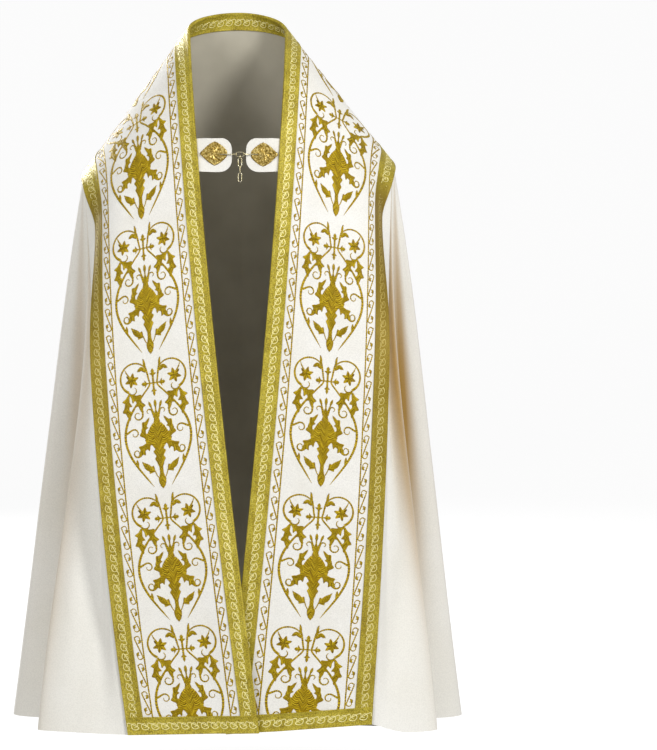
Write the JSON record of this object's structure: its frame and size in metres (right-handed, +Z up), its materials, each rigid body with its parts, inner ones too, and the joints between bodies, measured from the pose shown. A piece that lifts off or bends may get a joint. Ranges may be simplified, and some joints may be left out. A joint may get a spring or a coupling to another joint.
{
  "type": "cope vestment",
  "caption": "Half-round ivory ceremonial cloak worn on the shoulders, with gold embroidered front bands, a fringed hood on the back and a chest clasp with a hanging chain.",
  "frame": {"origin": "middle plane of the neck, level with the two points where the shoulders start to carry the cloth", "axes": "+Z up, -Y out of the chest (the front of the garment faces -Y), +X to the viewer's right of the front"},
  "size_m": [0.888, 0.4534, 1.3988],
  "materials": {
    "ivory_cloth": "finely speckled ivory brocade, matt",
    "gold_embroidery": "gold satin-stitch embroidery on ivory cloth",
    "gold_galloon": "woven metallic braid",
    "gold_fringe": "dark gold bullion",
    "antique_gold": "antique gold filigree",
    "pale_gold_metal": "polished pale gold"
  },
  "bodies": {
    "cope": {"cope_cloth": "ivory_cloth", "orphrey_left": "gold_embroidery", "orphrey_right": "gold_embroidery", "galloon_front_left": "gold_galloon", "galloon_front_right": "gold_galloon", "galloon_outer_left": "gold_galloon", "galloon_outer_right": "gold_galloon", "galloon_hem_left": "gold_galloon", "galloon_hem_right": "gold_galloon", "galloon_centre_back": "gold_galloon", "galloon_neck_inside": "gold_galloon", "hood_cloth": "ivory_cloth", "hood_orphrey": "gold_embroidery", "hood_galloon_left": "gold_galloon", "hood_galloon_right": "gold_galloon", "hood_galloon_edge": "gold_galloon", "hood_fringe": "gold_fringe", "morse_tab_left": "ivory_cloth", "morse_tab_right": "ivory_cloth", "morse_plate_left": "antique_gold", "morse_plate_right": "antique_gold", "morse_hook_left": "pale_gold_metal", "morse_hook_right": "pale_gold_metal", "morse_ring": "pale_gold_metal"},
    "chain_1": {"chain_link_1": "pale_gold_metal"},
    "chain_2": {"chain_link_2": "pale_gold_metal"},
    "chain_3": {"chain_link_3": "pale_gold_metal"},
    "chain_4": {"chain_link_4": "pale_gold_metal"}
  },
  "joints": [
    {"name": "chain_swing", "type": "hinge", "parent": "cope", "child": "chain_1", "pos_m": [0.002, -0.1391, -0.266], "axis": [-1, 0, 0], "range_deg": [0, 60]},
    {"name": "link_2_sway", "type": "hinge", "parent": "chain_1", "child": "chain_2", "pos_m": [0.002, -0.1391, -0.2712], "axis": [0, 1, 0], "range_deg": [-30, 30]},
    {"name": "link_3_swing", "type": "hinge", "parent": "chain_2", "child": "chain_3", "pos_m": [0.002, -0.1391, -0.2859], "axis": [-1, 0, 0], "range_deg": [0, 60]},
    {"name": "link_4_sway", "type": "hinge", "parent": "chain_3", "child": "chain_4", "pos_m": [0.002, -0.1391, -0.2996], "axis": [0, 1, 0], "range_deg": [-30, 30]}
  ]
}
